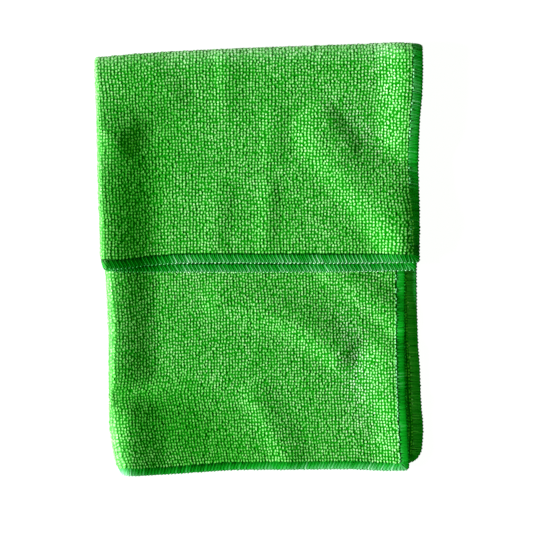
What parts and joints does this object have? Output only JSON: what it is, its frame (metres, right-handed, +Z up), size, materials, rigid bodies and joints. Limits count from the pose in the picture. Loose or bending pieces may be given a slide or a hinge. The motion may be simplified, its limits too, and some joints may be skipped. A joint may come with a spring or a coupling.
{
  "type": "folded microfibre cleaning cloth",
  "caption": "Square terry-knit microfibre cloth with overlocked edges, folded over to the side and with its top part turned down over the front, for wiping, drying and dusting.",
  "frame": {"origin": "on the surface the cloth lies on, at the middle of its footprint", "axes": "+Y towards the top fold, +X towards the open side edges, +Z up, out of the turned-down flap"},
  "size_m": [0.209, 0.2754, 0.0198],
  "materials": {
    "microfibre": "matt terry pile of short loops with a slight sheen",
    "overlock_thread": "close overlock stitching in a slightly glossy, bluer green thread"
  },
  "bodies": {
    "root": {"cloth": "microfibre"}
  },
  "joints": []
}
